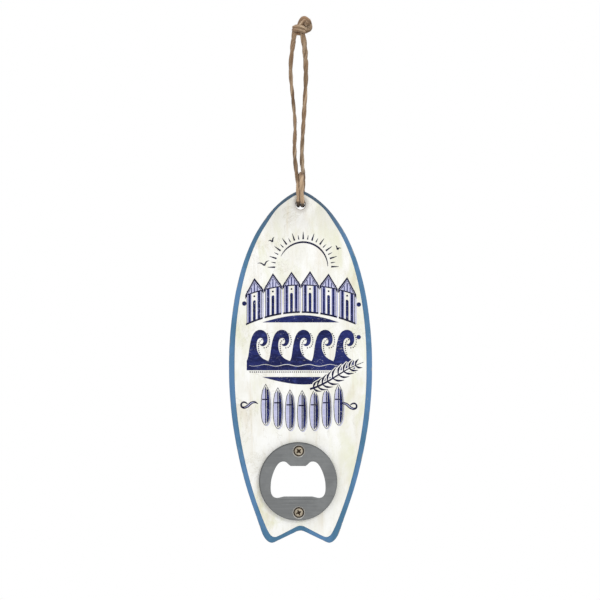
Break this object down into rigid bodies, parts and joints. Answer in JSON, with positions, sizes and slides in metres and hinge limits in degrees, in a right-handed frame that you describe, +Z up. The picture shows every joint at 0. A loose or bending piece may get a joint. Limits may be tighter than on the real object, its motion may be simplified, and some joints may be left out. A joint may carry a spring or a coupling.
{
  "type": "bottle opener",
  "caption": "Hanging souvenir bottle opener: a surfboard-shaped wooden board with a printed face, a round steel cap lifter held by screws, and a twine loop.",
  "frame": {"origin": "inside of the top of the twine loop, where a nail or hook carries the opener", "axes": "+Z up as it hangs, -Y out of the printed face, +X to the right of someone facing that face"},
  "size_m": [0.0728, 0.0159, 0.2678],
  "materials": {
    "painted_board": "matt blue paint on fibreboard, slightly worn",
    "printed_face": "whitewashed matt print with dark blue ink",
    "opener_steel": "satin grey steel, fine brushing",
    "screw_metal": "dull antique brass plating",
    "twine": "two-ply natural jute twine"
  },
  "bodies": {
    "twine": {"hanging_twine": "twine", "twine_knot": "twine"},
    "board": {"board": "painted_board", "front_print": "printed_face", "opener_plate": "opener_steel", "upper_screw": "screw_metal", "lower_screw": "screw_metal"}
  },
  "joints": [
    {"name": "board_swing", "type": "hinge", "parent": "twine", "child": "board", "pos_m": [0.00103, 0, -0.08524], "axis": [0, 1, 0], "range_deg": [-40, 40]}
  ]
}
